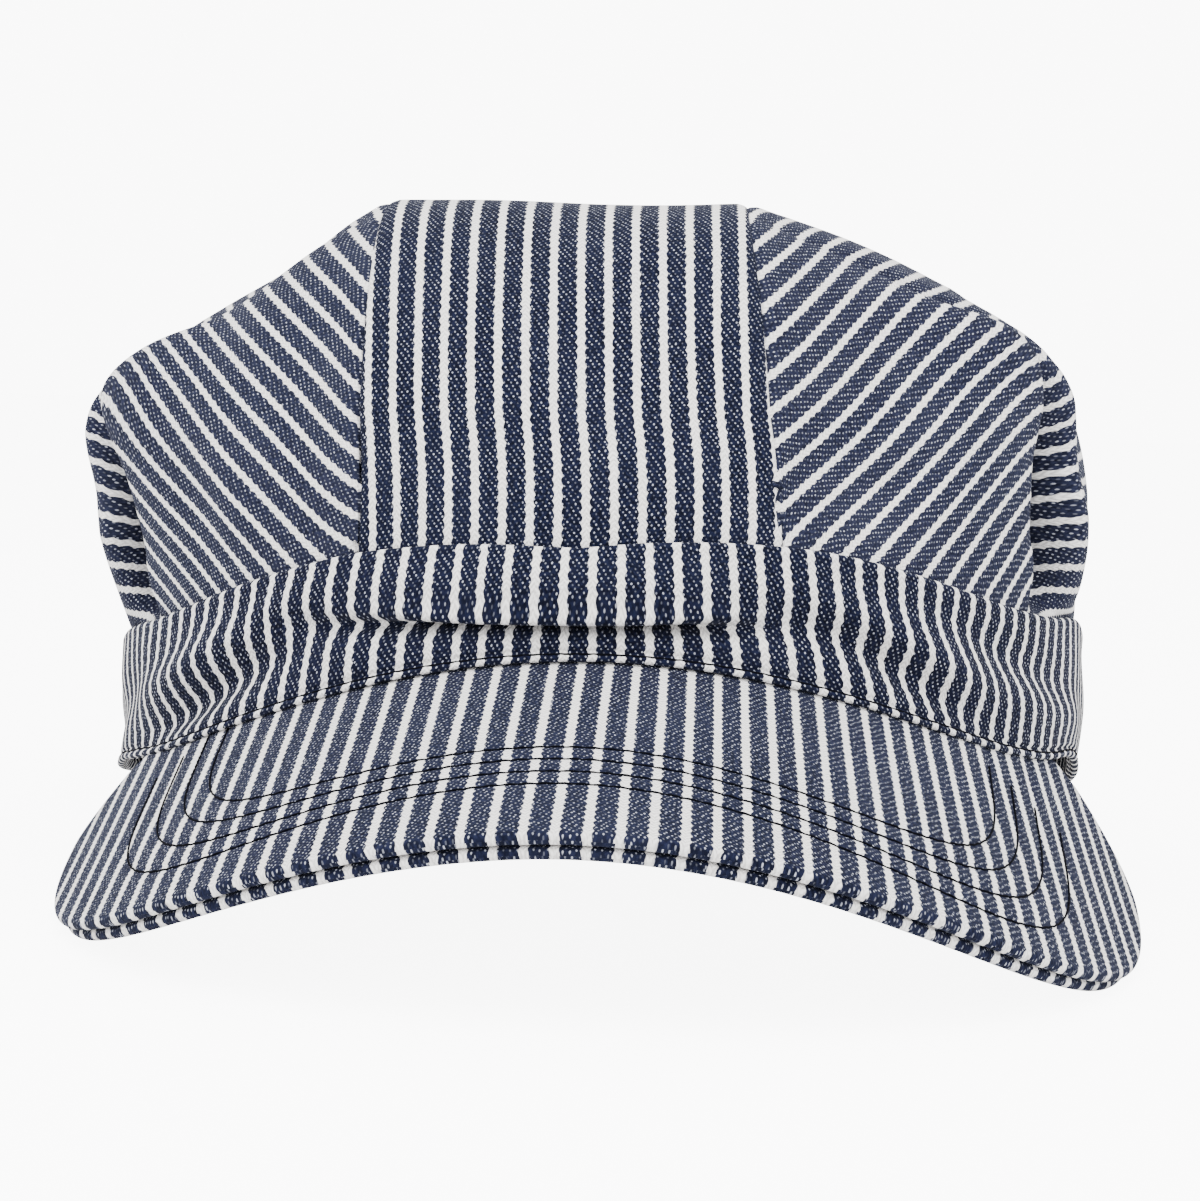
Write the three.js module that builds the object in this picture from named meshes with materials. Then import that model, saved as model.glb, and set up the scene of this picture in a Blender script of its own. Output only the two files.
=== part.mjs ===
// Soft striped railroad engineer cap, as it lies on a table: a head band, a crown of one middle panel
// and two side panels with a deep pleat at each temple, and a curved peak of two cloth covers.
// Millimetres, +Z up, the peak points to -Y. The finished cap stands on z = 0, centred over its own box.
import * as THREE from "three";

// Head band
const headHalfWidth = 87.3;
const headHalfLength = 93;
const bandHeight = 24;
const bandWall = 1.6;
const bandTilt = 0.6; // the band is this much higher on the right than in the middle

// Crown
const crownHeight = 118.9;
const crownHalfWidth = 91.2;
const middleHalfWidth = 33.5;
const middleDip = 0.3; // the middle panel sags this far between its two seams
const panelWall = 1.4;
const tuckDepth = 3.5; // the panels reach this far down inside the band
const crownShift = 7; // the slack crown leans this far to the left at its top
const crownLean = 7.5; // and this much higher on the right
const middleShift = -2.1; // the middle panel meets the band this far to the left
const sideShift = 1.6; // the side panels' shoulders hang this much further to the left

// Peak
const peakReach = 86.5;
const peakHalfWidth = 88.5;
const peakSkew = 4; // the right half of the peak is this much wider than the left half
const peakWidestY = -62;
const peakCorner = 2.12; // exponent of the outline: 2 is an ellipse
const peakSlope = 0.31;
const peakTop = 45.9; // height of the peak at the middle of its seam
const peakDrop = 39.8; // how far the arch falls over archSpan to each side
const archSpan = 80;
const archCentre = 3.6;
const topCover = 2.1;
const underCover = 1.8;
const peakUnderBand = 2.6; // the peak reaches this far in under the band
const edgeRoll = 0.9; // the covers' outer edges turn in this far
const inwardRoll = 0.2; // and this far where the two covers meet
const peakEnd = 0.985; // share of the seam that the peak fills to each side
const peakSides = 0.86; // beyond this share the outline runs back to the seam's end

// Clearance between two pieces that are sewn together
const seamGap = 0.3;

// Where the peak's seam ends on the band, in degrees from the front
const peakLeftAngle = -61;
const peakRightAngle = 68;

// The band's bottom edge behind the peak. rise is a share of its height where the peak ends.
const rimTable = [
  { angle: 0, rise: 1 },
  { angle: 14, rise: 0.72 },
  { angle: 32, rise: 0.46 },
  { angle: 52, rise: 0.2 },
  { angle: 72, rise: 0.04 },
  { angle: 84, rise: 0 },
  { angle: 130, rise: 0 },
];

// How much of its full height the band keeps: it is crumpled at the front.
const bandTable = [
  { angle: 0, height: 0.735 },
  { angle: 15, height: 0.85 },
  { angle: 26, height: 0.94 },
  { angle: 40, height: 0.99 },
  { angle: 62, height: 1 },
  { angle: 180, height: 1 },
];

// Rolls and creases of the band. out is a share of bandHeight, up and width are shares of it too.
const bandFolds = [
  { angle: 0, spread: 55, up: 0.66, width: 0.2, out: 0.085 },
  { angle: 0, spread: 30, up: 0.36, width: 0.12, out: -0.13 },
  { angle: -43, spread: 16, up: 0.42, width: 0.15, out: -0.11 },
  { angle: -50, spread: 16, up: 0.16, width: 0.12, out: 0.05 },
  { angle: 40, spread: 15, up: 0.66, width: 0.13, out: -0.12 },
  { angle: 44, spread: 16, up: 0.44, width: 0.12, out: 0.06 },
  { angle: 46, spread: 15, up: 0.24, width: 0.12, out: -0.09 },
  { angle: 100, spread: 30, up: 0.45, width: 0.25, out: 0.04 },
  { angle: -105, spread: 30, up: 0.5, width: 0.25, out: 0.04 },
  { angle: 180, spread: 40, up: 0.5, width: 0.25, out: 0.03 },
];

// The middle panel's own line from the front of the band over the top to the back.
// along is a share of headHalfLength, up of crownHeight, wide of middleHalfWidth.
const middleTable = [
  { along: -0.955, up: 0.62, wide: 1.0 },
  { along: -0.89, up: 0.74, wide: 0.985 },
  { along: -0.8, up: 0.86, wide: 0.96 },
  { along: -0.7, up: 0.945, wide: 0.93 },
  { along: -0.57, up: 0.992, wide: 0.91 },
  { along: -0.4, up: 1.0, wide: 0.905 },
  { along: -0.1, up: 0.992, wide: 0.92 },
  { along: 0.25, up: 0.95, wide: 0.94 },
  { along: 0.55, up: 0.855, wide: 0.96 },
  { along: 0.78, up: 0.705, wide: 0.98 },
  { along: 0.92, up: 0.52, wide: 1.0 },
  { along: 0.975, up: 0.35, wide: 1.0 },
];

// Sections of a side panel, from its seam with the middle panel over the shoulder to the band.
// angle is where it meets the band, seam a share of the seam's length, and out, along and up place
// its shoulder as shares of crownHalfWidth, headHalfLength and crownHeight. roof and flank swell the
// part above and below the shoulder, as shares of crownHalfWidth. open is 0 where the section runs
// straight down along the middle panel's edge. steps is how many sections are drawn on the way to
// the next row.
const sideTable = [
  { angle: 23, seam: 0.035, out: 0.37, along: -0.9, up: 0.6, roof: 0, flank: 0, open: 0, steps: 4 },
  { angle: 35, seam: 0.09, out: 0.53, along: -0.755, up: 0.625, roof: 0, flank: 0.004, open: 1, steps: 4 },
  { angle: 47, seam: 0.17, out: 0.71, along: -0.59, up: 0.705, roof: 0.01, flank: 0.006, open: 1, steps: 4 },
  { angle: 59, seam: 0.232, out: 0.872, along: -0.41, up: 0.762, roof: 0.01, flank: 0, open: 1, steps: 2 },
  { angle: 61.5, seam: 0.245, out: 0.83, along: -0.335, up: 0.755, roof: 0.004, flank: -0.08, open: 1, steps: 3 },
  { angle: 67, seam: 0.275, out: 0.91, along: -0.265, up: 0.76, roof: 0.012, flank: 0.03, open: 1, steps: 3 },
  { angle: 79, seam: 0.36, out: 0.945, along: -0.06, up: 0.755, roof: 0.02, flank: 0.05, open: 1, steps: 4 },
  { angle: 97, seam: 0.51, out: 0.95, along: 0.2, up: 0.725, roof: 0.022, flank: 0.045, open: 1, steps: 4 },
  { angle: 118, seam: 0.66, out: 0.885, along: 0.5, up: 0.66, roof: 0.022, flank: 0.03, open: 1, steps: 4 },
  { angle: 138, seam: 0.81, out: 0.7, along: 0.76, up: 0.545, roof: 0.02, flank: 0.02, open: 1, steps: 4 },
  { angle: 157, seam: 0.965, out: 0.37, along: 0.92, up: 0.28, roof: 0, flank: 0, open: 0, steps: 0 },
];

// Share of the way along a section where its upper and lower swell lie, and the steps between.
const roofAt = 0.55;
const flankAt = 0.45;
const stepsPerSpan = 3;

const bandAround = 64;
const bandUp = 8;
const middleAcross = 6;
const peakAcross = 30;
const peakForward = 6;

const radians = THREE.MathUtils.degToRad;
const V = (x, y, z) => new THREE.Vector3(x, y, z);

// Value of a table's column at a place between its rows, smooth through the rows.
function column(rows, key, place) {
  const i = Math.min(Math.max(Math.floor(place), 0), rows.length - 2);
  const t = place - i;
  const at = (k) => rows[Math.min(Math.max(k, 0), rows.length - 1)][key];
  const [a, b, c, d] = [at(i - 1), at(i), at(i + 1), at(i + 2)];
  const bend = 2 * a - 5 * b + 4 * c - d;
  return b + 0.5 * t * (c - a + t * (bend + t * (3 * (b - c) + d - a)));
}

// Value of a table's column at an angle, in straight steps from row to row.
function byAngle(rows, key, angle) {
  const next = rows.findIndex((row) => row.angle >= angle);
  if (next === 0) return rows[0][key];
  if (next < 0) return rows[rows.length - 1][key];
  const [low, high] = [rows[next - 1], rows[next]];
  return THREE.MathUtils.mapLinear(angle, low.angle, high.angle, low[key], high[key]);
}

const bell = (x) => Math.exp(-x * x);

// The band's folds die away over this share of its height below the top edge.
const swellEnd = 0.2;

// Point of the band's outline in plan, moved in by inset.
function bandPlan(angle, inset = 0) {
  const a = radians(angle);
  return [(headHalfWidth - inset) * Math.sin(a), -(headHalfLength - inset) * Math.cos(a)];
}

// Height of the peak's upper face over a point of the plan.
function peakFace(x, y) {
  const side = (x - archCentre) / archSpan;
  return peakTop - peakDrop * side * side + peakSlope * (y + headHalfLength);
}

// Height of the band's bottom edge. It leaves the peak's face one step of the band past its end.
function rim(angle, inset = 0) {
  const side = Math.sign(angle) || 1;
  const end = (side < 0 ? peakLeftAngle : peakRightAngle) + (side * 360) / bandAround;
  const past = Math.abs(angle) - Math.abs(end);
  const edge = past > 0 ? end : angle;
  const rise = byAngle(rimTable, "rise", Math.max(past, 0));
  return (peakFace(...bandPlan(edge, inset)) + seamGap) * rise;
}

// Height of the band's top edge.
function bandTop(angle) {
  const keep = byAngle(bandTable, "height", Math.abs(angle));
  return rim(angle) + bandHeight * keep + bandTilt * Math.sin(radians(angle));
}

// How far the band's cloth stands out of its outline, at a share up of its height.
function bandSwell(angle, up) {
  let out = 0;
  for (const fold of bandFolds) {
    let turn = angle - fold.angle;
    turn -= 360 * Math.round(turn / 360);
    out += fold.out * bell(turn / fold.spread) * bell((up - fold.up) / fold.width);
  }
  return bandHeight * out * Math.min(1, (1 - up) / swellEnd);
}

// The crown is slack: it leans to the left and stands higher on the right.
function slump(p) {
  const high = Math.max(0, p.z / crownHeight);
  const side = p.x / headHalfWidth;
  p.z += crownLean * side * Math.abs(side) * high;
  p.x -= crownShift * Math.pow(high, 1.5);
  return p;
}

// The middle panel's line in the plane x = 0, from band to band, and its half width.
const panelInset = bandWall + 1.5 * seamGap;
const middleLine = [
  { along: -(headHalfLength - panelInset), up: bandTop(0), wide: middleHalfWidth },
  ...middleTable.map((row) => ({
    along: row.along * headHalfLength,
    up: row.up * crownHeight,
    wide: row.wide * middleHalfWidth,
  })),
  { along: headHalfLength - panelInset, up: bandTop(180), wide: middleHalfWidth },
];

// The panel follows the band's top edge within this share of the seam at each end.
const seamEnd = 0.08;

// Share of the seam's length at fine steps along middleLine, to place a section by its share.
const lineSteps = 200;
const lineLength = [0];
for (let k = 1; k <= lineSteps; k++) {
  const [from, to] = [k - 1, k].map((n) => (n / lineSteps) * (middleLine.length - 1));
  const dy = column(middleLine, "along", to) - column(middleLine, "along", from);
  const dz = column(middleLine, "up", to) - column(middleLine, "up", from);
  lineLength.push(lineLength[k - 1] + Math.hypot(dy, dz));
}

function linePlace(share) {
  const target = share * lineLength[lineSteps];
  const k = Math.max(1, lineLength.findIndex((length) => length >= target));
  const part = (target - lineLength[k - 1]) / (lineLength[k] - lineLength[k - 1]);
  return ((k - 1 + part) / lineSteps) * (middleLine.length - 1);
}

// Point of the middle panel: share along its seam, across from -1 to 1.
function middlePoint(share, across, extra = 0) {
  const place = linePlace(share);
  const end = Math.min(1, Math.min(share, 1 - share) / seamEnd);
  const x = (column(middleLine, "wide", place) + extra) * across + middleShift * (1 - end);
  const turn = Math.asin(x / (headHalfWidth - panelInset));
  const y = column(middleLine, "along", place) * Math.cos(turn);
  const high = column(middleLine, "up", place);
  const angle = THREE.MathUtils.radToDeg(turn);
  const edge = share < 0.5 ? bandTop(angle) - bandTop(0) : bandTop(180 - angle) - bandTop(180);
  const z = high + edge * (1 - end) - middleDip * end * (1 - across * across);
  const low = V(x, y, z);
  return low.lerp(slump(low.clone()), end);
}

// The stations that the middle panel and both side panels share, so that their seams meet.
const stations = [];
sideTable.forEach((row, i) => {
  for (let k = 0; k < row.steps; k++) stations.push(i + k / row.steps);
});
stations.push(sideTable.length - 1);

// Angle at which a side panel's edge meets the band beside the middle panel.
function cornerAngle(side, behind) {
  const x = side * (middleHalfWidth + 1.5 * seamGap) + middleShift;
  const angle = THREE.MathUtils.radToDeg(Math.asin(x / (headHalfWidth - panelInset)));
  return behind ? side * 180 - angle : angle;
}

// One section of a side panel: side is 1 on the right and -1 on the left.
function sideSection(place, side) {
  const at = (key) => column(sideTable, key, place);
  const open = THREE.MathUtils.clamp(at("open"), 0, 1);
  const corner = cornerAngle(side, at("angle") > 90);
  const angle = THREE.MathUtils.lerp(corner, side * at("angle"), open);
  const seam = middlePoint(at("seam"), side, seamGap * (1.6 - 0.6 * open));
  const [footX, footY] = bandPlan(angle, panelInset);
  const foot = V(footX, footY, bandTop(angle) + seamGap);
  const shaped = slump(
    V(side * at("out") * crownHalfWidth, at("along") * headHalfLength, at("up") * crownHeight),
  );
  shaped.x -= sideShift;
  const shoulder = seam.clone().lerp(foot, 0.5).lerp(shaped, open);
  const outward = V(footX, footY, 0).normalize();
  const upper = seam.clone().lerp(shoulder, roofAt);
  upper.z += at("roof") * crownHalfWidth;
  const lower = shoulder.clone().lerp(foot, flankAt);
  lower.addScaledVector(outward, at("flank") * crownHalfWidth);
  const knots = [seam, upper, shoulder, lower, foot].map((p) => ({ x: p.x, y: p.y, z: p.z }));
  const points = [];
  for (let k = 0; k <= stepsPerSpan * (knots.length - 1); k++) {
    const t = k / stepsPerSpan;
    points.push(V(column(knots, "x", t), column(knots, "y", t), column(knots, "z", t)));
  }
  points.push(V(footX, footY, foot.z - tuckDepth));
  return points;
}

// Outward normals of a grid of points, by the differences between neighbours.
function gridNormals(grid, closed) {
  const rows = grid.length;
  return grid.map((line, i) =>
    line.map((_, j) => {
      const before = grid[closed ? (i + rows - 1) % rows : Math.max(i - 1, 0)];
      const after = grid[closed ? (i + 1) % rows : Math.min(i + 1, rows - 1)];
      const along = after[j].clone().sub(before[j]);
      const last = line.length - 1;
      const across = line[Math.min(j + 1, last)].clone().sub(line[Math.max(j - 1, 0)]);
      return along.cross(across).normalize();
    }),
  );
}

// Closed mesh between an outer grid and an inner grid of the same size. The outer grid's own
// normals point out of the solid. A closed grid joins its last row to its first.
function clothSolid(outer, inner, closed) {
  const rows = outer.length;
  const columns = outer[0].length;
  const positions = [...outer.flat(), ...inner.flat()].flatMap((p) => [p.x, p.y, p.z]);
  const top = (i, j) => (i % rows) * columns + j;
  const under = (i, j) => rows * columns + top(i, j);
  const index = [];
  const quad = (a, b, c, d) => index.push(a, b, c, a, c, d);
  const spans = closed ? rows : rows - 1;
  for (let i = 0; i < spans; i++) {
    for (let j = 0; j < columns - 1; j++) {
      quad(top(i, j), top(i + 1, j), top(i + 1, j + 1), top(i, j + 1));
      quad(under(i, j), under(i, j + 1), under(i + 1, j + 1), under(i + 1, j));
    }
    quad(top(i, 0), under(i, 0), under(i + 1, 0), top(i + 1, 0));
    const end = columns - 1;
    quad(top(i, end), top(i + 1, end), under(i + 1, end), under(i, end));
  }
  if (!closed) {
    for (let j = 0; j < columns - 1; j++) {
      quad(top(0, j), top(0, j + 1), under(0, j + 1), under(0, j));
      const end = rows - 1;
      quad(top(end, j), under(end, j), under(end, j + 1), top(end, j + 1));
    }
  }
  const geometry = new THREE.BufferGeometry();
  geometry.setAttribute("position", new THREE.Float32BufferAttribute(positions, 3));
  geometry.setIndex(index);
  geometry.computeVertexNormals();
  return geometry;
}

const offsetGrid = (grid, normals, depth) =>
  grid.map((line, i) => line.map((p, j) => p.clone().addScaledVector(normals[i][j], -depth)));

// Materials
const stripedCloth = new THREE.MeshStandardMaterial({ color: 0x3d466b, roughness: 0.92, metalness: 0 });
const peakCloth = new THREE.MeshStandardMaterial({ color: 0x434d72, roughness: 0.9, metalness: 0 });

const cap = new THREE.Group();

function addPiece(name, geometry, material) {
  const piece = new THREE.Mesh(geometry, material);
  piece.name = name;
  cap.add(piece);
}

// Head band
function headBand() {
  const outer = [];
  const inner = [];
  for (let i = 0; i < bandAround; i++) {
    const angle = (360 * i) / bandAround - 180;
    const outerLine = [];
    const innerLine = [];
    for (let j = 0; j <= bandUp; j++) {
      const up = j / bandUp;
      const out = bandSwell(angle, up);
      const [x, y] = bandPlan(angle, -out);
      const [innerX, innerY] = bandPlan(angle, bandWall - out);
      const foot = (1 - up) * rim(angle);
      const innerFoot = (1 - up) * rim(angle, bandWall);
      outerLine.push(V(x, y, foot + up * bandTop(angle)));
      innerLine.push(V(innerX, innerY, innerFoot + up * bandTop(angle)));
    }
    outer.push(outerLine);
    inner.push(innerLine);
  }
  return clothSolid(outer, inner, true);
}

// Crown: the middle panel and the two side panels, each with its wall set off from the others.
function crownPanels() {
  const acrossSteps = Array.from({ length: middleAcross + 1 }, (_, k) => 1 - (2 * k) / middleAcross);
  const middle = stations.map((place) => {
    const share = column(sideTable, "seam", place);
    return acrossSteps.map((across) => middlePoint(share, across));
  });
  const tucked = (line) => line.map((p) => V(p.x, p.y, p.z - tuckDepth));
  const front = acrossSteps.map((across) => middlePoint(0, across));
  const back = acrossSteps.map((across) => middlePoint(1, across));
  const middleFull = [tucked(front), front, ...middle, back, tucked(back)];
  const sides = { right: 1, left: -1 };
  const sideGrids = {};
  for (const [name, side] of Object.entries(sides)) {
    const grid = stations.map((place) => sideSection(place, side));
    sideGrids[name] = side > 0 ? grid.reverse() : grid;
  }
  const middleNormals = gridNormals(middleFull, false);
  const sideNormals = {};
  for (const name of Object.keys(sides)) sideNormals[name] = gridNormals(sideGrids[name], false);
  const last = stations.length - 1;
  const ends = [0, last];
  stations.forEach((_, k) => {
    const pairs = [
      [0, sideNormals.right[last - k]],
      [middleAcross, sideNormals.left[k]],
    ];
    for (const [j, sideLine] of pairs) {
      const shared = middleNormals[k + 2][j].clone();
      if (!ends.includes(k)) shared.add(sideLine[0]).normalize();
      const rows = k === 0 ? [0, 1, 2] : k === last ? [k + 2, k + 3, k + 4] : [k + 2];
      for (const row of rows) middleNormals[row][j] = shared.clone();
      const reach = ends.includes(k) ? sideLine.length : 1;
      for (let n = 0; n < reach; n++) sideLine[n] = shared.clone();
    }
  });
  return {
    middle: clothSolid(middleFull, offsetGrid(middleFull, middleNormals, panelWall), false),
    right: clothSolid(
      sideGrids.right, offsetGrid(sideGrids.right, sideNormals.right, panelWall), false,
    ),
    left: clothSolid(
      sideGrids.left, offsetGrid(sideGrids.left, sideNormals.left, panelWall), false,
    ),
  };
}

// Outline of the peak in plan, from its left end (-1) to its right end (1).
function peakOutline(across) {
  const side = Math.sign(across) || 1;
  const halfWidth = peakHalfWidth + side * peakSkew;
  if (Math.abs(across) > peakSides) {
    const back = (Math.abs(across) - peakSides) / (1 - peakSides);
    const [endX, endY] = bandPlan(side > 0 ? peakRightAngle : peakLeftAngle);
    const x = THREE.MathUtils.lerp(side * halfWidth, endX, back * back);
    return [x, THREE.MathUtils.lerp(peakWidestY, endY, back)];
  }
  const turn = (across / peakSides) * (Math.PI / 2);
  const power = 2 / peakCorner;
  const x = side * halfWidth * Math.pow(Math.abs(Math.sin(turn)), power);
  return [x, peakWidestY - peakReach * Math.pow(Math.abs(Math.cos(turn)), power)];
}

// One cover of the peak, from depth below the upper face down to depth + thick.
function peakCover(depth, thick, rollTop, rollUnder) {
  const outer = [];
  const inner = [];
  for (let i = 0; i <= peakAcross; i++) {
    const across = THREE.MathUtils.lerp(-peakEnd, peakEnd, i / peakAcross);
    const angle = THREE.MathUtils.mapLinear(across, -1, 1, peakLeftAngle, peakRightAngle);
    const [backX, backY] = bandPlan(angle, peakUnderBand);
    const [frontX, frontY] = peakOutline(across);
    const outerLine = [];
    const innerLine = [];
    for (let j = 0; j <= peakForward + 1; j++) {
      const rolled = j > peakForward;
      const reach = Math.hypot(frontX - backX, frontY - backY);
      const share = rolled ? 1 : (j / peakForward) * (1 - edgeRoll / reach);
      const x = THREE.MathUtils.lerp(backX, frontX, share);
      const y = THREE.MathUtils.lerp(backY, frontY, share);
      const slopeX = (-2 * peakDrop * (x - archCentre)) / archSpan ** 2;
      const normal = V(-slopeX, -peakSlope, 1).normalize();
      const face = V(x, y, peakFace(x, y));
      const topDepth = depth + (rolled ? rollTop : 0);
      const underDepth = depth + thick - (rolled ? rollUnder : 0);
      outerLine.push(face.clone().addScaledVector(normal, -topDepth));
      innerLine.push(face.clone().addScaledVector(normal, -underDepth));
    }
    outer.push(outerLine);
    inner.push(innerLine);
  }
  return clothSolid(inner, outer, false);
}

addPiece("head_band", headBand(), stripedCloth);
const crown = crownPanels();
addPiece("crown_middle_panel", crown.middle, stripedCloth);
addPiece("crown_right_panel", crown.right, stripedCloth);
addPiece("crown_left_panel", crown.left, stripedCloth);
addPiece("peak_top_cover", peakCover(0, topCover, edgeRoll, inwardRoll), peakCloth);
const lowerCover = peakCover(topCover + seamGap, underCover, inwardRoll, edgeRoll);
addPiece("peak_under_cover", lowerCover, peakCloth);

// The lowest point stands on z = 0, and the box is centred over the origin.
const box = new THREE.Box3().setFromObject(cap, true);
const centre = box.getCenter(V(0, 0, 0));
cap.position.set(-centre.x, -centre.y, -box.min.z);

export default cap;
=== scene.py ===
import math

import bpy
import numpy as np
from mathutils import Matrix, Vector


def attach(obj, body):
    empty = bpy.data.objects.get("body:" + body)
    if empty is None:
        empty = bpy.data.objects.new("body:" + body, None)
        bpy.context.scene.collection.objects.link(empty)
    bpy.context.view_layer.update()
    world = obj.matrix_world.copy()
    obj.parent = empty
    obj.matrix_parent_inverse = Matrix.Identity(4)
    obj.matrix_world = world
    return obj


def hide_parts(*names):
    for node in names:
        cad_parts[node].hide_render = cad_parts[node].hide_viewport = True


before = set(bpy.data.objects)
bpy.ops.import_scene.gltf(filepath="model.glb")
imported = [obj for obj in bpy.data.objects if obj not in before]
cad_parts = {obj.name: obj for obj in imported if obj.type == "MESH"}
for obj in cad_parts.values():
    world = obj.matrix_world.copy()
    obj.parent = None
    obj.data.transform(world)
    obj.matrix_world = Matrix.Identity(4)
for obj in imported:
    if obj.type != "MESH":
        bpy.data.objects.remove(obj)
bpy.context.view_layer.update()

# The cap is drawn in millimetres about the middle of its head band, and then put in its place.
MM = 0.001
CAP_PLACE = np.array([1.84, 27.26, 0.07])

# Camera, about the middle of the head band
CAMERA_DISTANCE = 560.0
CAMERA_AZIMUTH = 2.7
CAMERA_ELEVATION = 5.0
CAMERA_ROLL = 2.4
CAMERA_TARGET = (-0.9, 0.0, 47.9)
CAMERA_LENS = 91.08
CAMERA_SENSOR = 36

# Sizes that the solids have too
HEAD_HALF_WIDTH = 87.3
HEAD_HALF_LENGTH = 93.0
BAND_HEIGHT = 24.0
BAND_WALL = 1.6
BAND_TILT = 0.6
CROWN_HEIGHT = 118.9
CROWN_HALF_WIDTH = 91.2
MIDDLE_HALF_WIDTH = 33.5
MIDDLE_DIP = 0.3
PANEL_WALL = 1.4
PANEL_INSET = 2.05
TUCK_DEPTH = 3.5
CROWN_SHIFT = 7.0
CROWN_LEAN = 7.5
MIDDLE_SHIFT = -2.1
SIDE_SHIFT = 1.6
SEAM_END = 0.08
PEAK_REACH = 86.5
PEAK_HALF_WIDTH = 88.5
PEAK_SKEW = 4.0
PEAK_WIDEST_Y = -62.0
PEAK_CORNER = 2.12
PEAK_SLOPE = 0.31
PEAK_TOP = 45.9
PEAK_DROP = 39.8
ARCH_SPAN = 80.0
ARCH_CENTRE = 3.6
TOP_COVER = 2.1
UNDER_COVER = 1.8
PEAK_UNDER_BAND = 2.6
PEAK_SIDES = 0.86
PEAK_END = 0.985
SEAM_GAP = 0.3
PEAK_LEFT_ANGLE = -61.0
PEAK_RIGHT_ANGLE = 68.0
BAND_STEP = 360 / 64

# How the band's foot comes down behind the peak: degrees past its corner, and share of its height there
RIM_PAST = [0, 14, 32, 52, 72, 84, 130]
RIM_RISE = [1, 0.72, 0.46, 0.2, 0.04, 0, 0]
# How much of its height the band keeps, by degrees from the front
KEEP_ANGLE = [0, 15, 26, 40, 62, 180]
KEEP_HEIGHT = [0.735, 0.85, 0.94, 0.99, 1, 1]

# The middle panel's line over the head: along, up and wide are shares of the sizes above.
MIDDLE_ROWS = np.array([
    (-0.955, 0.62, 1.0), (-0.89, 0.74, 0.985), (-0.8, 0.86, 0.96), (-0.7, 0.945, 0.93),
    (-0.57, 0.992, 0.91), (-0.4, 1.0, 0.905), (-0.1, 0.992, 0.92), (0.25, 0.95, 0.94),
    (0.55, 0.855, 0.96), (0.78, 0.705, 0.98), (0.92, 0.52, 1.0), (0.975, 0.35, 1.0),
])

# Sections of a side panel from front to back: angle round the head, place along the middle panel's
# seam, the shoulder's place (out, along, up), how far roof and flank bulge, and how far it stands open.
SIDE_ROWS = np.array([
    (23, 0.035, 0.37, -0.9, 0.6, 0, 0, 0),
    (35, 0.09, 0.53, -0.755, 0.625, 0, 0.004, 1),
    (47, 0.17, 0.71, -0.59, 0.705, 0.01, 0.006, 1),
    (59, 0.232, 0.872, -0.41, 0.762, 0.01, 0, 1),
    (61.5, 0.245, 0.83, -0.335, 0.755, 0.004, -0.08, 1),
    (67, 0.275, 0.91, -0.265, 0.76, 0.012, 0.03, 1),
    (79, 0.36, 0.945, -0.06, 0.755, 0.02, 0.05, 1),
    (97, 0.51, 0.95, 0.2, 0.725, 0.022, 0.045, 1),
    (118, 0.66, 0.885, 0.5, 0.66, 0.022, 0.03, 1),
    (138, 0.81, 0.7, 0.76, 0.545, 0.02, 0.02, 1),
    (157, 0.965, 0.37, 0.92, 0.28, 0, 0, 0),
])

# Folds of the band: angle, spread, up, width, out (mm) and slant, how far up moves for a degree.
BAND_FOLDS = [
    (-48, 15, 0.58, 0.14, 1.9, 0.009),
    (-48, 15, 0.27, 0.13, -3.2, 0.009),
    (29, 12, 0.42, 0.11, -1.6, -0.01),
    (40, 12, 0.5, 0.13, 1.6, -0.012),
    (42, 12, 0.22, 0.11, -1.5, -0.012),
    (54, 14, 0.66, 0.14, -1.9, -0.01),
    (66, 14, 0.35, 0.16, 1.0, -0.008),
    (-72, 14, 0.42, 0.18, -1.2, 0.006),
    (100, 26, 0.5, 0.25, 0.9, 0.0),
    (-105, 26, 0.5, 0.25, 0.9, 0.0),
    (150, 14, 0.5, 0.16, -1.0, 0.004),
    (-140, 14, 0.45, 0.16, -1.0, -0.004),
    (180, 34, 0.5, 0.25, 0.7, 0.0),
]


def smooth(values, place):
    """Smooth value of a list at places between its entries, by a Catmull-Rom curve."""
    values = np.asarray(values, float)
    place = np.asarray(place, float)
    last = len(values) - 1
    i = np.clip(np.floor(place).astype(int), 0, last - 1)
    t = place - i
    a, b = values[np.clip(i - 1, 0, last)], values[i]
    c, d = values[i + 1], values[np.clip(i + 2, 0, last)]
    return b + 0.5 * t * (c - a + t * (2 * a - 5 * b + 4 * c - d + t * (3 * (b - c) + d - a)))


def bell(x):
    """1 at 0, and falling off softly on both sides."""
    return np.exp(-np.square(x))


def hump(x, size, middle, before, after):
    """A soft hump with one width before its middle and another after it."""
    return size * bell((x - middle) / np.where(x < middle, before, after))


def mound(x, size, middle, width):
    """A soft hump with the same width on both sides."""
    return size * bell((x - middle) / width)


def evened(x, places, values, step=2):
    """Straight lines through a list of values, evened out over two steps to either side."""
    return sum(np.interp(x + k * step, places, values) for k in (-2, -1, 0, 1, 2)) / 5


RIPPLE_WAVES = 7


def ripple(u, v, size, seed, wave):
    """Gentle unevenness of slack cloth: a few long waves in seeded directions."""
    draw = np.random.RandomState(seed)
    total = 0
    for _ in range(RIPPLE_WAVES):
        way = draw.uniform(0, math.tau)
        length = wave * draw.uniform(0.7, 1.7)
        phase = draw.uniform(0, math.tau)
        total = total + np.sin(math.tau * (u * math.cos(way) + v * math.sin(way)) / length + phase)
    return size * (total / math.sqrt(RIPPLE_WAVES))


def band_plan(angle, inset=0):
    """Place in plan on the head band's outline, at an angle from the front."""
    a = np.radians(angle)
    return (HEAD_HALF_WIDTH - inset) * np.sin(a), -(HEAD_HALF_LENGTH - inset) * np.cos(a)


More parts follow.
